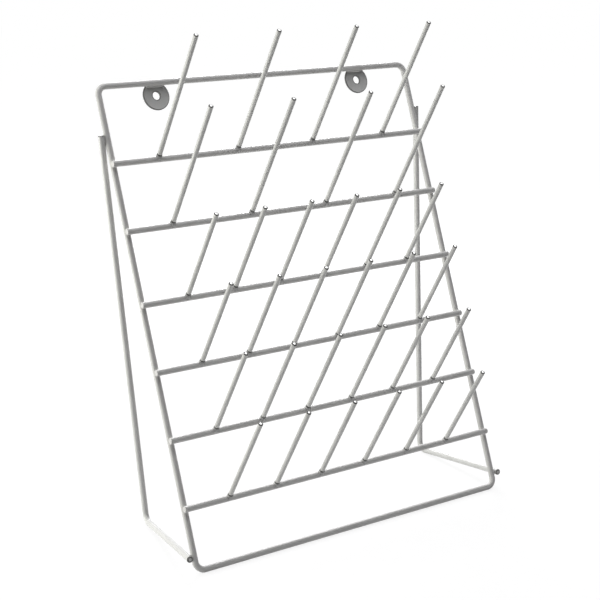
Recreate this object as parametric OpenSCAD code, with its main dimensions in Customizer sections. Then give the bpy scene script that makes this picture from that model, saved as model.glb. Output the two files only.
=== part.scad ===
// Drying pegboard rack: a leaning wire frame with six crossbars of slanting
// pegs, held up by two bent wire legs. Everything is coated steel rod, welded.
// The rack stands on z = 0 with its pegs towards -Y and its width along X.
// Its origin is the middle of its overall box, on the floor.

/* [Rod] */
// Diameter of the frame, crossbar and leg rod over its coating
rod_d = 6.4; // [5.5:0.1:7.5]
// Diameter of the peg rod over its coating
peg_d = 4.9; // [3.5:0.1:5.3]
// Depth that two rods are pressed into each other at a weld
weld_set = 0.25; // [0.1:0.05:0.6]
// Rounding that the coating gives each cut rod end
end_round = 0.7; // [0.3:0.1:1.2]

/* [Panel frame] */
// Width between the centre lines of the two side rods
panel_w = 380; // [350:1:440]
// Height along the slope between the bottom and top rods' centre lines
panel_h = 479; // [460:1:540]
// Bend radius of the four corners, at the rod's centre line
corner_r = 9; // [7:0.5:12]
// Angle that the frame leans back from upright
recline = 21.4; // [16:0.1:28]

/* [Crossbars] */
// Number of crossbars that carry short pegs, counted from the bottom
short_rows = 4; // [2:1:4]
// Number of crossbars that carry long pegs, above the short ones
long_rows = 2; // [1:1:2]
// Height of the lowest crossbar above the bottom rod, along the slope
bar_first = 60.5; // [50:0.5:70]
// Spacing of the crossbars with short pegs
bar_pitch_short = 66.6; // [55:0.1:70]
// Spacing between the last short crossbar and the first long one
bar_pitch_mid = 72.8; // [60:0.1:80]
// Spacing of the crossbars with long pegs
bar_pitch_long = 67.4; // [60:0.1:75]
// How far a crossbar runs past the left side rod's centre line
bar_over_left = 3.4; // [0:0.1:5]
// How far a crossbar runs past the right side rod's centre line
bar_over_right = 0.8; // [0:0.1:5]

/* [Pegs] */
// Number of pegs on a crossbar with short pegs
short_count = 6; // [3:1:6]
// Number of pegs on a crossbar with long pegs
long_count = 4; // [2:1:4]
// Length of a short peg from its crossbar's centre line
short_len = 110.5; // [80:0.5:130]
// Length of a long peg from its crossbar's centre line
long_len = 148.5; // [120:0.5:170]
// Spacing of the short pegs
short_pitch = 54.7; // [45:0.1:56]
// Spacing of the long pegs
long_pitch = 92.5; // [70:0.1:95]
// Distance of the first peg from the left side rod's centre line
peg_inset = 47; // [30:0.5:50]
// Angle that the pegs rise from square to the frame
peg_rise = 37; // [20:0.5:50]
// Diameter of the upset that welding leaves round a peg's foot
upset_d = 5.8; // [5.6:0.1:6.2]
// Height of that upset over its crossbar
upset_h = 1.2; // [1:0.1:2]

/* [Legs] */
// Height along the slope at which the legs' tops are welded to the side rods
leg_top_h = 430.5; // [400:0.5:440]
// Distance of the heels behind the bottom rod
heel_back = 135.5; // [110:0.5:150]
// Distance that the left heel stands inboard of its weld, because the leg is bent
heel_in_left = 25.5; // [0:0.5:30]
// Distance that the right heel stands inboard of its weld
heel_in_right = 0; // [0:0.5:30]
// Bend radius of the heels, at the rod's centre line
heel_r = 9; // [7:0.5:20]
// How much thinner the rod is through a heel, where bending it stretched it
heel_thin = 0.1; // [0.06:0.01:0.2]
// Height along the slope at which the feet are welded to the side rods
foot_h = 14.2; // [13.5:0.1:25]
// How far a foot runs on in front of its weld
foot_over = 4.8; // [2:0.1:12]

/* [Hanging washers] */
// Outer diameter of a washer
washer_od = 29.4; // [24:0.1:34]
// Diameter of a washer's hole
washer_id = 8.4; // [5:0.1:12]
// Thickness of a washer
washer_t = 1.8; // [1.2:0.1:3]
// Distance of the washers' centres inboard of the side rods' centre lines
washer_inset = 65; // [40:1:100]
// Distance of the washers' centres below the top rod's centre line
washer_drop = 12.7; // [10:0.1:16]
// Rounding that the coating gives a washer's edges
washer_round = 0.4; // [0.2:0.1:0.5]

/* [Hidden] */
$fn = 48;
// Room by which a cutter runs past what it cuts
cut_room = 20;
// Steps in which a heel is lowered until it stands on the floor
heel_steps = 5;
// Length by which a leg's straight rods run into its thinner heel
heel_lap = 0.3;
rod_r = rod_d / 2;
// Centre distance of two rods welded across each other
weld_pitch = rod_d - weld_set;
side_x = panel_w / 2;
bars = short_rows + long_rows;

// Directions in the leaning frame: up its slope, and square out of its front
up_slope = [0, sin(recline), cos(recline)];
out_front = [0, -cos(recline), sin(recline)];
peg_lift = recline + peg_rise;

// A point of the leaning frame, from its place across, up and out of the frame
function on_frame(across, up, out) = [across, 0, rod_r] + up * up_slope + out * out_front;

// Slope height of a crossbar: row 1 is the top one and the last row the lowest
function bar_h(row) = row > long_rows
    ? bar_first + (bars - row) * bar_pitch_short
    : bar_first + (short_rows - 1) * bar_pitch_short + bar_pitch_mid
        + (long_rows - row) * bar_pitch_long;
function peg_count(row) = row > long_rows ? short_count : long_count;
function peg_pitch(row) = row > long_rows ? short_pitch : long_pitch;
function peg_len(row) = row > long_rows ? short_len : long_len;
function peg_x(row, i) = -side_x + peg_inset + (i - 1) * peg_pitch(row);

function unit(v) = v / norm(v);

// Sideways distance that keeps a rod along dir one weld pitch off a side rod
function weld_x(dir) = side_x + weld_pitch * norm(cross(up_slope, dir)) / abs(cross(up_slope, dir).x);

// Height of a bend's lowest centre-line point over its corner, between two directions
function bend_low(a, b) = heel_r * (unit(unit(a) + unit(b)).z / sin(bend_inner(a, b) / 2)
    - sqrt(1 - pow(unit(cross(a, b)).z, 2)));
function bend_inner(a, b) = acos(unit(a) * unit(b));

// A leg's three points: the top of its upright, the corner of its heel and its
// foot's weld. side is -1 for the left leg and 1 for the right one.
function heel_in(side) = side < 0 ? heel_in_left : heel_in_right;
function leg_top(side, corner) = [side * weld_x(leg_run(side, corner, leg_top_h)), 0, 0]
    + on_frame(0, leg_top_h, 0);
function foot_weld(side, corner) = [side * weld_x(leg_run(side, corner, foot_h)), 0, 0]
    + on_frame(0, foot_h, 0);
function leg_run(side, corner, h) = on_frame(side * (side_x + weld_pitch), h, 0) - corner;
function lowered(side, corner, steps) = steps == 0
    ? corner
    : lowered(side, [corner.x, corner.y, rod_r - bend_low(
        foot_weld(side, corner) - corner, leg_top(side, corner) - corner)], steps - 1);
function heel_corner(side) = lowered(side,
    [side * (side_x + weld_pitch - heel_in(side)), heel_back, rod_r], heel_steps);

// Overall box, which sets the origin. The lowest row's peg tips reach furthest
// forward, the washers' top edges furthest back, and a leg furthest to each side.
tip_reach = (short_len - end_round) * cos(peg_lift) + (peg_d / 2 - end_round) * sin(peg_lift)
    + end_round;
front_y = on_frame(0, bar_h(bars), weld_pitch).y - tip_reach;
washer_out = rod_r + washer_t / 2 - weld_set;
washer_up = panel_h - washer_drop;
back_y = on_frame(0, washer_up, -washer_out).y + (washer_od / 2 - washer_round) * sin(recline)
    + (washer_t / 2 - washer_round) * cos(recline) + washer_round;
mid_y = (front_y + back_y) / 2;

row_names = [for (row = [1 : bars]) str("crossbar_", row)];
function peg_name(row, i) = str("peg_", row, "_", i);
peg_names = [for (row = [1 : bars]) for (i = [1 : peg_count(row)]) peg_name(row, i)];

// Moves what is drawn in the leaning frame's own axes, x across, y up the slope
// and z out of its front, to its place in the rack
module in_frame() {
    translate([0, -mid_y, rod_r])
        rotate([90 - recline, 0, 0])
            children();
}

// A rod along +Z from the origin, with its far end cut off and rounded by coating
module ended_rod(d, length) {
    rotate_extrude() {
        square([d / 2 - end_round, length]);
        square([d / 2, length - end_round]);
        translate([d / 2 - end_round, length - end_round])
            intersection() {
                circle(r = end_round);
                square(end_round);
            }
    }
}

// A rod that starts at the origin and bends through an angle, about an axis at
// distance r up +Y, from running along -X towards +Y
module rod_bend(d, r, angle) {
    translate([0, r, 0])
        rotate([0, 0, -90 - angle])
            rotate_extrude(angle = angle)
                translate([r, 0])
                    circle(d = d);
}

// One straight rod along +Y of the leaning frame
module side_rod(side, low, high) {
    translate([side * side_x, low, 0])
        rotate([-90, 0, 0])
            cylinder(h = high - low, d = rod_d);
}

// One straight rod across the leaning frame
module cross_rod(up, out, left, right) {
    translate([left, up, out])
        rotate([0, 90, 0])
            cylinder(h = right - left, d = rod_d);
}

// Closed loop of one bent rod, butt welded to itself
module panel_frame() {
    color("gainsboro")
        in_frame()
            union() {
                for (side = [-1, 1])
                    side_rod(side, corner_r, panel_h - corner_r);
                for (up = [0, panel_h])
                    cross_rod(up, 0, corner_r - side_x, side_x - corner_r);
                for (turn = [0, 1], side = [-1, 1])
                    translate([0, turn * panel_h, 0])
                        mirror([side > 0 ? 1 : 0, 0, 0])
                            mirror([0, turn, 0])
                                translate([corner_r - side_x, 0, 0])
                                    rod_bend(rod_d, corner_r, 90);
            }
}

// Straight rod laid on the front of both side rods and welded there
module crossbar(row) {
    left = -side_x - bar_over_left;
    right = side_x + bar_over_right;
    middle = (left + right) / 2;
    color("whitesmoke")
        in_frame()
            difference() {
                translate([middle, bar_h(row), weld_pitch])
                    for (side = [-1, 1])
                        rotate([0, side * 90, 0])
                            ended_rod(rod_d, (right - left) / 2);
                for (side = [-1, 1])
                    side_rod(side, bar_h(row) - cut_room, bar_h(row) + cut_room);
            }
}

// Straight peg, its foot upset by its weld and coped to the round of its crossbar
module peg(row, i) {
    color("white")
        in_frame()
            difference() {
                translate([peg_x(row, i), bar_h(row), weld_pitch])
                    rotate([-peg_rise, 0, 0]) {
                        ended_rod(peg_d, peg_len(row));
                        ended_rod(upset_d, rod_r + upset_h);
                    }
                cross_rod(bar_h(row), weld_pitch, peg_x(row, i) - cut_room, peg_x(row, i) + cut_room);
            }
}

// Leg of one bent rod: an upright from the side rod down to the heel, and a foot
// that runs forward along the floor to the side rod's lower end
module leg(side) {
    corner = heel_corner(side);
    foot = foot_weld(side, corner) - corner;
    upright = leg_top(side, corner) - corner;
    along = unit(foot);
    normal = unit(cross(foot, upright));
    inward = cross(normal, along);
    inner = bend_inner(foot, upright);
    tangent = heel_r / tan(inner / 2);
    start = tangent - heel_lap;
    color("silver")
        difference() {
            translate([0, -mid_y, 0])
                multmatrix([
                    [along.x, inward.x, normal.x, corner.x],
                    [along.y, inward.y, normal.y, corner.y],
                    [along.z, inward.z, normal.z, corner.z],
                    [0, 0, 0, 1]
                ])
                    union() {
                        translate([start, 0, 0])
                            rotate([0, 90, 0])
                                ended_rod(rod_d, norm(foot) + foot_over - start);
                        translate([tangent, 0, 0])
                            rod_bend(rod_d - heel_thin, heel_r, 180 - inner);
                        rotate([0, 0, inner])
                            translate([start, 0, 0])
                                rotate([0, 90, 0])
                                    ended_rod(rod_d, norm(upright) - start);
                    }
            in_frame()
                side_rod(side, foot_h - cut_room, leg_top_h + cut_room);
        }
}

// Flat washer welded to the back of the top rod, to hang the rack from a hook
module washer(side) {
    edge = washer_t / 2 - washer_round;
    color("darkgray")
        in_frame()
            difference() {
                translate([side * (side_x - washer_inset), washer_up, -washer_out])
                    rotate_extrude() {
                        translate([washer_id / 2, -washer_t / 2])
                            square([(washer_od - washer_id) / 2 - washer_round, washer_t]);
                        translate([washer_od / 2 - 2 * washer_round, -edge])
                            square([2 * washer_round, 2 * edge]);
                        for (face = [-1, 1])
                            translate([washer_od / 2 - washer_round, face * edge])
                                circle(r = washer_round);
                    }
                cross_rod(panel_h, 0, -side_x, side_x);
            }
}

panel_frame();
leg(-1);  // leg_left
leg(1);  // leg_right
washer(-1);  // washer_left
washer(1);  // washer_right
for (row = [1 : bars]) {
    crossbar(row);
    for (i = [1 : peg_count(row)])
        peg(row, i);
}
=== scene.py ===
from math import atan2, cos, pi, radians, sin, sqrt

import bmesh
import bpy
from mathutils import Matrix, Vector


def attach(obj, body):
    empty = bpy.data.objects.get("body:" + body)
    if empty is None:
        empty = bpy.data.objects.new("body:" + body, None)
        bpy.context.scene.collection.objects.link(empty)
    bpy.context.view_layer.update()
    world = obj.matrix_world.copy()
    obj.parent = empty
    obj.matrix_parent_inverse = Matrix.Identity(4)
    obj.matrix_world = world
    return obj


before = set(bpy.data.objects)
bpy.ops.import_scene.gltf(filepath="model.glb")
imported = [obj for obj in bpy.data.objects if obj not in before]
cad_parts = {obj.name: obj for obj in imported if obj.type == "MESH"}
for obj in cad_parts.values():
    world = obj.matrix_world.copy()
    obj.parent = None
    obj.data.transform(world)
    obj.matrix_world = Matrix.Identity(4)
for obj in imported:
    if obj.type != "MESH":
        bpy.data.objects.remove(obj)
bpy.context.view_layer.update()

# ---- Camera -----------------------------------------------------------------
# The rack is seen from the left of its front and from a little above, far enough
# away that its upright rods stay nearly parallel.
CAMERA_PLACE = (-0.83548, -1.17286, 0.61477)
CAMERA_DOWN = 15.016
CAMERA_TURN = -34.72
LENS_MM = 86.98

camera_data = bpy.data.cameras.new("camera")
camera_data.sensor_width = 36
camera_data.lens = LENS_MM
camera_data.clip_start = 0.05
camera_data.clip_end = 60
camera = bpy.data.objects.new("camera", camera_data)
camera.location = CAMERA_PLACE
camera.rotation_euler = (radians(90 - CAMERA_DOWN), 0, radians(CAMERA_TURN))
bpy.context.scene.collection.objects.link(camera)
bpy.context.scene.camera = camera
bpy.context.scene.view_settings.view_transform = "Standard"

# ---- Light ------------------------------------------------------------------
# Soft panels stand far behind the rack and beside it, a little warmer on its left.
# A wide one hangs overhead, and one on the floor adds to the light that comes back
# from below. The room is white to look at, but the panels alone light the rack.
RACK_MIDDLE = Vector((0, 0, 0.24))
COOL = (0.975, 0.975, 1.0)
WARM = (1.0, 1.0, 0.95)
PANELS = (
    # name, place, width, height, watts, colour
    ("panel_low_left", (-1.083, 0.625, 0.13), 0.62, 0.26, 6.3, WARM),
    ("panel_low_side", (-1.25, 0.0, 0.13), 0.62, 0.26, 1.7, WARM),
    ("panel_high_left", (-1.083, 0.625, 0.95), 0.62, 0.5, 7.6, WARM),
    ("panel_high_back", (0.625, 1.083, 0.95), 0.62, 0.5, 14.0, COOL),
    ("panel_high_right", (1.083, 0.625, 0.95), 0.62, 0.5, 1.9, COOL),
    ("panel_low_right", (1.083, 0.625, 0.13), 0.62, 0.26, 1.1, COOL),
    ("panel_under", (0.0, 0.0, 0.0008), 2.0, 2.0, 3.0, COOL),
    ("panel_overhead", (0.0, 0.0, 1.8), 1.6, 1.6, 19.0, COOL),
)
for name, place, width, height, watts, colour in PANELS:
    lamp = bpy.data.lights.new(name, "AREA")
    lamp.shape = "RECTANGLE"
    lamp.size = width
    lamp.size_y = height
    lamp.energy = watts
    lamp.color = colour
    panel = bpy.data.objects.new(name, lamp)
    panel.location = place
    panel.rotation_euler = (RACK_MIDDLE - Vector(place)).to_track_quat("-Z", "Y").to_euler()
    panel.visible_camera = False
    bpy.context.scene.collection.objects.link(panel)


def add_node(tree, kind, inputs=None, **settings):
    """Adds a node, with its settings and its inputs as values or links."""
    node = tree.nodes.new("ShaderNode" + kind)
    for key, value in settings.items():
        setattr(node, key, value)
    for key, value in (inputs or {}).items():
        if isinstance(value, bpy.types.NodeSocket):
            tree.links.new(value, node.inputs[key])
        else:
            node.inputs[key].default_value = value
    return node


def seen_directly(tree):
    """1 for a ray from the camera, a reflection or a clear body, and 0 for light."""
    rays = add_node(tree, "LightPath")
    seen = add_node(tree, "Math", {0: rays.outputs["Is Camera Ray"],
                                   1: rays.outputs["Is Glossy Ray"]}, operation="MAXIMUM")
    return add_node(tree, "Math", {0: seen.outputs[0], 1: rays.outputs["Is Transmission Ray"]},
                    operation="MAXIMUM").outputs[0]


world = bpy.data.worlds.new("room")
world.use_nodes = True
bpy.context.scene.world = world
room = world.node_tree
room.nodes.clear()
white_room = add_node(room, "Background", {"Color": (1, 1, 1, 1), "Strength": seen_directly(room)})
add_node(room, "OutputWorld", {"Surface": white_room.outputs[0]})

# ---- Floor ------------------------------------------------------------------
# A plain pale sweep that the rack stands on. It keeps a faint shadow of the rods
# and runs out into the white of the room.
FLOOR_HALF = 6
FLOOR_COLOUR = (0.35, 0.35, 0.35, 1)
SHADOW_COLOUR = (0.16, 0.16, 0.16, 1)
GLOW_NEAR = 0.87
GLOW_FAR = 1.0
NEAR_REACH = 0.3
FAR_REACH = 1.4

floor_mesh = bmesh.new()
bmesh.ops.create_grid(floor_mesh, x_segments=1, y_segments=1, size=FLOOR_HALF)
floor_data = bpy.data.meshes.new("floor")
floor_mesh.to_mesh(floor_data)
floor_mesh.free()
floor = bpy.data.objects.new("floor", floor_data)
bpy.context.scene.collection.objects.link(floor)

paper = bpy.data.materials.new("floor_paper")
paper.use_nodes = True
sweep = paper.node_tree
sweep.nodes.clear()
place = add_node(sweep, "TexCoord")
reach = add_node(sweep, "VectorMath", {0: place.outputs["Object"]}, operation="LENGTH")
fade = add_node(sweep, "MapRange", {"Value": reach.outputs["Value"], "From Min": NEAR_REACH,
                                    "From Max": FAR_REACH, "To Min": GLOW_NEAR,
                                    "To Max": GLOW_FAR}, interpolation_type="SMOOTHSTEP")
matt = add_node(sweep, "BsdfDiffuse", {"Color": FLOOR_COLOUR})
shadow = add_node(sweep, "BsdfDiffuse", {"Color": SHADOW_COLOUR})
glow = add_node(sweep, "Emission", {"Color": (1, 1, 1, 1), "Strength": fade.outputs["Result"]})
shown = add_node(sweep, "AddShader", {0: shadow.outputs[0], 1: glow.outputs[0]})
sheet = add_node(sweep, "MixShader", {0: seen_directly(sweep), 1: matt.outputs[0],
                                      2: shown.outputs[0]})
add_node(sweep, "OutputMaterial", {"Surface": sheet.outputs[0]})
floor_data.materials.append(paper)

# ---- Panel frame ------------------------------------------------------------
# One steel rod bent into a closed loop with four tight corners and butt welded to
# itself. It is dipped in off-white plastic, which leaves a thick, faintly rippled
# coat with a soft gloss.
ROD_COLOUR = (0.64, 0.635, 0.62)
ROD_SHADE = 0.95
SOFT_GLOSS = (0.32, 0.44)
COAT_IOR = 1.46
CLEAN_SHADE = 1.03
RIPPLE_DEPTH = 0.00002
PEEL_DEPTH = 0.000003
# scale and detail of each noise, and the part of its range that is used
COLOUR_CLOUDS = (42, 4)
GLOSS_CLOUDS = (190, 3)
RIPPLES = (130, 2)
PEEL = (1100, 2)
CLOUD_LOW = 0.3
CLOUD_HIGH = 0.7


def coating(name, colour, shade, roughness):
    """Dipped plastic coat: cloudy colour, uneven gloss, ripples and a fine peel."""
    coat = bpy.data.materials.new(name)
    coat.use_nodes = True
    tree = coat.node_tree
    shader = tree.nodes["Principled BSDF"]
    shader.inputs["IOR"].default_value = COAT_IOR
    place = add_node(tree, "TexCoord")

    def cloud(scale, detail):
        return add_node(tree, "TexNoise", {"Vector": place.outputs["Object"], "Scale": scale,
                                           "Detail": detail}).outputs["Fac"]

    def between(fac, low, high):
        return add_node(tree, "MapRange", {"Value": fac, "From Min": CLOUD_LOW,
                                           "From Max": CLOUD_HIGH, "To Min": low,
                                           "To Max": high}).outputs["Result"]

    tint = add_node(tree, "Mix", {
        "Factor": between(cloud(*COLOUR_CLOUDS), 0, 1),
        "A": (*[part * shade for part in colour], 1),
        "B": (*[min(part * CLEAN_SHADE, 1) for part in colour], 1)}, data_type="RGBA")
    ripple = add_node(tree, "Bump", {"Distance": RIPPLE_DEPTH, "Height": cloud(*RIPPLES)})
    peel = add_node(tree, "Bump", {"Distance": PEEL_DEPTH, "Height": cloud(*PEEL),
                                   "Normal": ripple.outputs["Normal"]})
    tree.links.new(tint.outputs["Result"], shader.inputs["Base Color"])
    tree.links.new(between(cloud(*GLOSS_CLOUDS), *roughness), shader.inputs["Roughness"])
    tree.links.new(peel.outputs["Normal"], shader.inputs["Normal"])
    return coat


def finish_node(name, coat):
    """Gives a solid its coat."""
    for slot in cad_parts[name].material_slots:
        slot.material = coat


rod_coat = coating("rod_coat", ROD_COLOUR, ROD_SHADE, SOFT_GLOSS)
finish_node("panel_frame", rod_coat)

# ---- Crossbars --------------------------------------------------------------
# Six straight rods of the same stock, pressed on the front of both side rods and
# resistance welded there. The coat runs into the narrow gap round each weld.
ROD_R = 0.0032
WELD_SET = 0.00025
ROD_PITCH = 2 * ROD_R - WELD_SET
SIDE_X = 0.190
RECLINE = radians(21.4)
MID_Y = 0.0682174
BAR_HEIGHTS = (0.4005, 0.3331, 0.2603, 0.1937, 0.1271, 0.0605)
COAT_GAP = 0.0008
COAT_SINK = 0.0001
FILLET_LIMIT = 0.004
FILLET_WAIST = 0.22
ROUND_STEPS = 24

up_slope = Vector((0, sin(RECLINE), cos(RECLINE)))
out_front = Vector((0, -cos(RECLINE), sin(RECLINE)))
across = Vector((1, 0, 0))


def on_frame(side, up, out):
    """A point of the leaning frame: across, up its slope and out of its front."""
    return Vector((side, -MID_Y, ROD_R)) + up * up_slope + out * out_front


def add_piece(name, mesh, coat):
    """Makes a finished mesh a smooth piece of the rack, in its slot's coat."""
    bmesh.ops.recalc_face_normals(mesh, faces=mesh.faces)
    data = bpy.data.meshes.new(name)
    mesh.to_mesh(data)
    mesh.free()
    data.materials.append(coat)
    data.shade_smooth()
    piece = bpy.data.objects.new(name, data)
    bpy.context.scene.collection.objects.link(piece)
    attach(piece, "root")


def gather(mesh, shape):
    """Adds a finished shape to the mesh of its piece."""
    data = bpy.data.meshes.new("shape")
    shape.to_mesh(data)
    shape.free()
    mesh.from_mesh(data)
    bpy.data.meshes.remove(data)


def crossing_fillet(mesh, back_spot, outward, front_run):
    """Fills the gap round the weld of a front rod on a side rod with coat."""
    side_run = outward.cross(front_run)
    collar = bmesh.new()
    bmesh.ops.create_cone(collar, cap_ends=True, segments=ROUND_STEPS, radius1=1, radius2=1,
                          depth=2)
    uprights = [edge for edge in collar.edges if edge.verts[0].co.z != edge.verts[1].co.z]
    bmesh.ops.subdivide_edges(collar, edges=uprights, cuts=3)
    for vert in collar.verts:
        turn = atan2(vert.co.y, vert.co.x)
        level = vert.co.z
        ray = cos(turn) * front_run + sin(turn) * side_run
        off_front = ray.cross(front_run).length
        off_back = ray.cross(up_slope).length
        spread = (off_front ** 2 + off_back ** 2) / ROD_R
        reach = min(sqrt(2 * COAT_GAP / spread), FILLET_LIMIT)
        reach *= 1 - FILLET_WAIST * (1 - level ** 2)
        top = ROD_PITCH - sqrt(ROD_R ** 2 - (reach * off_front) ** 2) + COAT_SINK
        bottom = sqrt(ROD_R ** 2 - (reach * off_back) ** 2) - COAT_SINK
        height = bottom + (top - bottom) * (level + 1) / 2
        vert.co = back_spot + reach * ray + height * outward
    gather(mesh, collar)


for row, bar_height in enumerate(BAR_HEIGHTS, 1):
    finish_node(f"crossbar_{row}", rod_coat)
    fillets = bmesh.new()
    for side in (-1, 1):
        crossing_fillet(fillets, on_frame(side * SIDE_X, bar_height, 0), out_front, across)
    add_piece(f"crossbar_welds_{row}", fillets, rod_coat)

# ---- Pegs -------------------------------------------------------------------
# Straight pegs of thinner rod, butt welded on the crossbars and slanting up to the
# front. A collar of coat covers each weld, coloured darker as painted shade of the
# crossbar's front, up to a dark ring that is a painted shadow where the peg meets its
# crossbar. The coat ends in a dark rounded rim of painted shade at each cut tip, round
# a bright metallic spot that is a painted highlight on the end.
PEG_COLOUR = (0.65, 0.65, 0.63)
PEG_SHADE = 0.955
# Darker coat on the weld collars, painted shade that stands in for the crossbar's shaded front.
COLLAR_SHADED_COLOUR = (0.46, 0.46, 0.455)
# Near-black coat of painted shade: a ring of painted shadow where each peg meets its crossbar, and
# the dark rims at the peg tips.
PAINTED_SHADE_COLOUR = (0.09, 0.09, 0.086)
PAINTED_SHADE_CLOUD = 0.8
PAINTED_SHADE_GLOSS = (0.45, 0.6)
# Bright metallic spot on each peg tip: a painted highlight on the end face.
TIP_HIGHLIGHT_COLOUR = (0.93, 0.93, 0.92)
TIP_HIGHLIGHT_CLOUD = 0.9
TIP_HIGHLIGHT_GLOSS = (0.3, 0.45)
PEG_R = 0.00245
UPSET_R = 0.0029
PEG_RISE = radians(37)
PEG_INSET = 0.047
PEG_ROWS = 2 * ((4, 0.0925, 0.1485),) + 4 * ((6, 0.0547, 0.1105),)
RING_SINK = 0.0004
COLLAR_SPREAD = 0.97 * ROD_R
COLLAR_TOP = 0.0056
COLLAR_PROFILE = (
    # radius, and share of the way from the crossbar to the collar's top
    (UPSET_R - RING_SINK, 0),
    (UPSET_R + 0.0004, 0),
    (UPSET_R + 0.0001, 0.3),
    (UPSET_R + 0.00005, 0.75),
    (PEG_R + 0.0001, 1),
    (PEG_R - RING_SINK, 1),
)
# Ring of painted shadow round each peg at the top of its collar, where the peg meets the crossbar.
SHADOW_RING_PROFILE = (
    # radius and height over the collar
    (PEG_R - RING_SINK, 0),
    (PEG_R + 0.0002, 0),
    (PEG_R + 0.0002, 0.00075),
    (PEG_R + 0.0001, 0.0015),
    (PEG_R - RING_SINK, 0.0015),
)
# Sizes of the rim of painted shade and of the small face on each cut end.
END_ROUND = 0.0007
RIM_PROUD = 0.00004
RIM_INNER = 0.8
END_SPOT_SHARE = 0.45
END_SPOT_HIGH = 0.0003
END_SPOT_LAP = 0.0001
BEAD_SIDES = 20
BEAD_RINGS = 10

peg_coat = coating("peg_coat", PEG_COLOUR, PEG_SHADE, SOFT_GLOSS)
painted_shade_coat = coating("painted_shade_coat", PAINTED_SHADE_COLOUR, PAINTED_SHADE_CLOUD, PAINTED_SHADE_GLOSS)
collar_shaded_coat = coating("collar_shaded_coat", COLLAR_SHADED_COLOUR, ROD_SHADE, SOFT_GLOSS)
painted_tip_highlight = coating("painted_tip_highlight", TIP_HIGHLIGHT_COLOUR, TIP_HIGHLIGHT_CLOUD, TIP_HIGHLIGHT_GLOSS)
painted_tip_highlight.node_tree.nodes["Principled BSDF"].inputs["Metallic"].default_value = 1
peg_run = cos(PEG_RISE) * out_front + sin(PEG_RISE) * up_slope


def aimed(spot, run):
    """The move that takes a shape along +Z at the origin to a spot, along a run."""
    return Matrix.Translation(spot) @ run.to_track_quat("Z", "Y").to_matrix().to_4x4()


def spun(profile):
    """A ring round +Z, turned from a closed profile of radius and height."""
    ring = bmesh.new()
    points = [ring.verts.new((radius, 0, height)) for radius, height in profile]
    outline = [ring.edges.new((points[k - 1], points[k])) for k in range(len(points))]
    bmesh.ops.spin(ring, geom=points + outline, cent=(0, 0, 0), axis=(0, 0, 1),
                   angle=2 * pi, steps=ROUND_STEPS, use_merge=True)
    return ring


def turned(mesh, spot, run, profile):
    """Adds a turned ring at a spot, along a run."""
    ring = spun(profile)
    bmesh.ops.transform(ring, matrix=aimed(spot, run), verts=ring.verts)
    gather(mesh, ring)


def bead(mesh, spot, run, length, radius):
    """Adds a long rounded bead with its middle at a spot."""
    drop = bmesh.new()
    shape = Matrix.Diagonal((radius, radius, length / 2, 1))
    bmesh.ops.create_uvsphere(drop, u_segments=BEAD_SIDES, v_segments=BEAD_RINGS, radius=1,
                              matrix=aimed(spot, run) @ shape)
    gather(mesh, drop)


def cut_end(rims, faces, end, run, rod_r):
    """Dresses a cut rod end: a rounded rim to be coated dark as painted shade, round a small
    raised face.
    """
    middle = rod_r - END_ROUND
    spot_r = END_SPOT_SHARE * rod_r
    proud = END_ROUND + RIM_PROUD
    low = RIM_INNER * END_ROUND
    outer = [(middle + proud * sin(turn), proud * cos(turn))
             for turn in (k * pi / 10 for k in range(6))]
    inner = [(middle + low * sin(turn), low * cos(turn))
             for turn in (k * pi / 4 for k in (2, 1, 0))]
    turned(rims, end - END_ROUND * run, run, outer + inner + [(spot_r, low), (spot_r, proud)])
    bead(faces, end, run, 2 * END_SPOT_HIGH, spot_r + END_SPOT_LAP)


def foot_collar(mesh, bar_spot):
    """Collar of coat over a peg's weld, fitted to the round of its crossbar."""
    collar = spun(COLLAR_PROFILE)
    side_run = peg_run.cross(across)
    for vert in collar.verts:
        radius = Vector(vert.co[:2]).length
        turn = atan2(vert.co.y, vert.co.x)
        off_bar = min(abs(radius * sin(turn)), COLLAR_SPREAD)
        low = sqrt(ROD_R ** 2 - off_bar ** 2) - COAT_SINK
        height = low + (COLLAR_TOP - low) * vert.co.z
        vert.co = (bar_spot + radius * (cos(turn) * across + sin(turn) * side_run)
                   + height * peg_run)
    gather(mesh, collar)


for row, (bar_height, (count, pitch, length)) in enumerate(zip(BAR_HEIGHTS, PEG_ROWS), 1):
    collars = bmesh.new()
    shade_rings = bmesh.new()
    tip_highlights = bmesh.new()
    for number in range(count):
        finish_node(f"peg_{row}_{number + 1}", peg_coat)
        root = on_frame(-SIDE_X + PEG_INSET + number * pitch, bar_height, ROD_PITCH)
        foot_collar(collars, root)
        # ring of painted shadow at the top of the collar
        turned(shade_rings, root + COLLAR_TOP * peg_run, peg_run, SHADOW_RING_PROFILE)
        # dark rim of painted shade and a bright spot of painted highlight on the tip
        cut_end(shade_rings, tip_highlights, root + length * peg_run, peg_run, PEG_R)
    add_piece(f"peg_collars_{row}", collars, collar_shaded_coat)
    add_piece(f"peg_shade_rings_{row}", shade_rings, painted_shade_coat)
    add_piece(f"peg_tip_highlights_{row}", tip_highlights, painted_tip_highlight)

# ---- Legs -------------------------------------------------------------------
# Two rods, each bent once into an upright and a foot along the floor. Both ends are
# welded to the outside of the side rod, in a bead at the top and a fillet at the
# foot, and the cut ends have dark rims of painted shade. The left leg is bent a
# little inboard.
LEG_COLOUR = (0.665, 0.665, 0.65)
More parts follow.
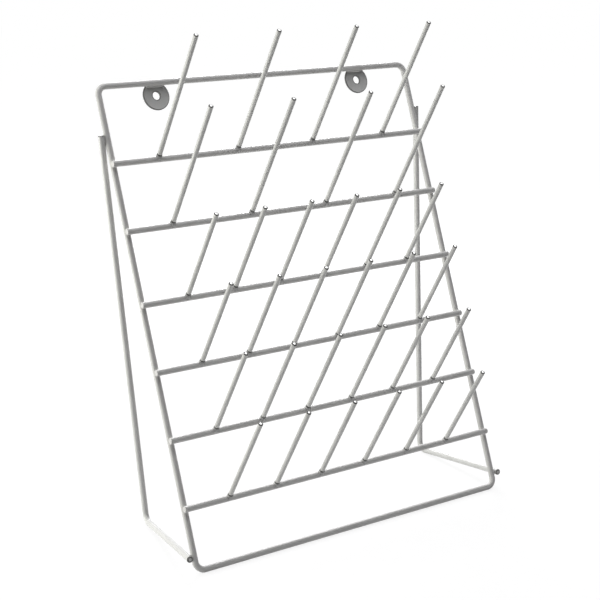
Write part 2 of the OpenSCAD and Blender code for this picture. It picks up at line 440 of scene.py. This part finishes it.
# Near-black coat for the rims of the legs' cut ends: painted shade on their rounded edges.
LEG_RIM_SHADE_COLOUR = (0.2, 0.2, 0.19)
LEG_RIM_SHADE_CLOUD = 0.85
LEG_RIM_SHADE_GLOSS = (0.40, 0.55)
LEG_TOP_H = 0.4305
FOOT_H = 0.0142
FOOT_OVER = 0.0048
HEEL_BACK = 0.1355
LEG_BEAD_LONG = 0.011
LEG_BEAD_R = 0.0014
LEG_BEAD_DOWN = 0.007
LEG_BEAD_BACK = 0.0021
HEELS = ((-1, "leg_left", (-0.17065, HEEL_BACK - MID_Y, 0.00223)),
         (1, "leg_right", (0.19615, HEEL_BACK - MID_Y, 0.00222)))

leg_coat = coating("leg_coat", LEG_COLOUR, ROD_SHADE, SOFT_GLOSS)
leg_rim_shade_coat = coating("leg_rim_shade_coat", LEG_RIM_SHADE_COLOUR, LEG_RIM_SHADE_CLOUD, LEG_RIM_SHADE_GLOSS)


def leg_end(side, heel, height):
    """Where a leg's end lies on the side rod: its end, its run and the way outward."""
    run = (on_frame(side * (SIDE_X + ROD_PITCH), height, 0) - heel).normalized()
    outward = up_slope.cross(run).normalized()
    if outward.x * side < 0:
        outward.negate()
    end = on_frame(side * (SIDE_X + ROD_PITCH / abs(outward.x)), height, 0)
    return end, (end - heel).normalized(), outward


for side, name, heel in HEELS:
    finish_node(name, leg_coat)
    welds = bmesh.new()
    edges = bmesh.new()
    ends = bmesh.new()

    top, run, outward = leg_end(side, Vector(heel), LEG_TOP_H)
    groove = (top + on_frame(side * SIDE_X, LEG_TOP_H, 0)) / 2 - LEG_BEAD_BACK * out_front
    cut_end(edges, ends, top, run, ROD_R)
    bead(welds, groove - LEG_BEAD_DOWN * run, run, LEG_BEAD_LONG, LEG_BEAD_R)

    foot, run, outward = leg_end(side, Vector(heel), FOOT_H)
    cut_end(edges, ends, foot + FOOT_OVER * run, run, ROD_R)
    crossing_fillet(welds, on_frame(side * SIDE_X, FOOT_H, 0), outward, run)

    add_piece(name + "_welds", welds, leg_coat)
    # the pieces named _edges carry the dark rims of painted shade
    add_piece(name + "_edges", edges, leg_rim_shade_coat)
    add_piece(name + "_ends", ends, leg_coat)

# ---- Hanging washers --------------------------------------------------------
# Flat steel washers welded by their upper edge to the back of the top rod, so that
# the rack can hang from two hooks. A bead of weld lies along each joint. Shade is
# painted into the washers' coat: darker at the rim and round the hole, and lighter
# low on the face and darker high up, as painted light and shade.
WASHER_COLOUR = (0.55, 0.55, 0.54)
WASHER_SHADE = 0.93
WASHER_INSET = 0.065
WASHER_UP = 0.4663
WASHER_OUT = 0.00385
WASHER_R = 0.0147
HOLE_R = 0.0042
# Painted shade at the rim and round the hole, and painted light low on the face with painted shade
# high up.
RIM_PAINTED_SHADE = 0.15
RIM_FADE = (0.0011, 0.0005)
HOLE_PAINTED_SHADE = 0.2
HOLE_FADE = (0.0004, 0.0012)
LOW_PAINTED_LIGHT = 1.3
HIGH_PAINTED_SHADE = 0.85
UPPER_LEVEL = 0.6 * WASHER_R
PANEL_H = 0.479
WASHER_BEAD_LONG = 0.021
WASHER_BEAD_R = 0.0013
WASHER_BEAD_DOWN = 0.0031
WASHER_BEAD_BACK = 0.0020

washer_coat = coating("washer_coat", WASHER_COLOUR, WASHER_SHADE, SOFT_GLOSS)
tree = washer_coat.node_tree
shader = tree.nodes["Principled BSDF"]
plain_colour = shader.inputs["Base Color"].links[0].from_socket
# Painted light and shade: the colour darkens at the rim and round the hole, and grades from
# lighter low down to darker high up.
place = add_node(tree, "TexCoord")
split = add_node(tree, "SeparateXYZ", {0: place.outputs["Object"]})
folded = add_node(tree, "Math", {0: split.outputs["X"]}, operation="ABSOLUTE")
one_side = add_node(tree, "CombineXYZ", {"X": folded.outputs[0], "Y": split.outputs["Y"],
                                         "Z": split.outputs["Z"]})
from_hole = add_node(tree, "VectorMath", {
    0: one_side.outputs[0], 1: on_frame(SIDE_X - WASHER_INSET, WASHER_UP, -WASHER_OUT)},
    operation="SUBTRACT")
depth = add_node(tree, "VectorMath", {0: from_hole.outputs[0], 1: out_front}, operation="PROJECT")
flat = add_node(tree, "VectorMath", {0: from_hole.outputs[0], 1: depth.outputs[0]},
                operation="SUBTRACT")
radius = add_node(tree, "VectorMath", {0: flat.outputs[0]}, operation="LENGTH")
level = add_node(tree, "VectorMath", {0: flat.outputs[0], 1: up_slope}, operation="DOT_PRODUCT")
edge = add_node(tree, "MapRange", {"Value": radius.outputs["Value"],
                                   "From Min": WASHER_R - RIM_FADE[0],
                                   "From Max": WASHER_R - RIM_FADE[1],
                                   "To Min": 1, "To Max": RIM_PAINTED_SHADE})
hole = add_node(tree, "MapRange", {"Value": radius.outputs["Value"],
                                   "From Min": HOLE_R + HOLE_FADE[0],
                                   "From Max": HOLE_R + HOLE_FADE[1],
                                   "To Min": HOLE_PAINTED_SHADE, "To Max": 1})
light = add_node(tree, "MapRange", {"Value": level.outputs["Value"], "From Min": -WASHER_R,
                                    "From Max": UPPER_LEVEL, "To Min": LOW_PAINTED_LIGHT,
                                    "To Max": HIGH_PAINTED_SHADE})
dark = add_node(tree, "Math", {0: edge.outputs[0], 1: hole.outputs[0]}, operation="MULTIPLY")
shade = add_node(tree, "Math", {0: dark.outputs[0], 1: light.outputs[0]}, operation="MULTIPLY")
shaded = add_node(tree, "VectorMath", {0: plain_colour, "Scale": shade.outputs[0]},
                  operation="SCALE")
tree.links.new(shaded.outputs[0], shader.inputs["Base Color"])

for side, name in ((-1, "washer_left"), (1, "washer_right")):
    finish_node(name, washer_coat)
    joint = (on_frame(side * (SIDE_X - WASHER_INSET), PANEL_H, 0)
             - WASHER_BEAD_DOWN * up_slope - WASHER_BEAD_BACK * out_front)
    welds = bmesh.new()
    bead(welds, joint, across, WASHER_BEAD_LONG, WASHER_BEAD_R)
    add_piece(name + "_weld", welds, rod_coat)
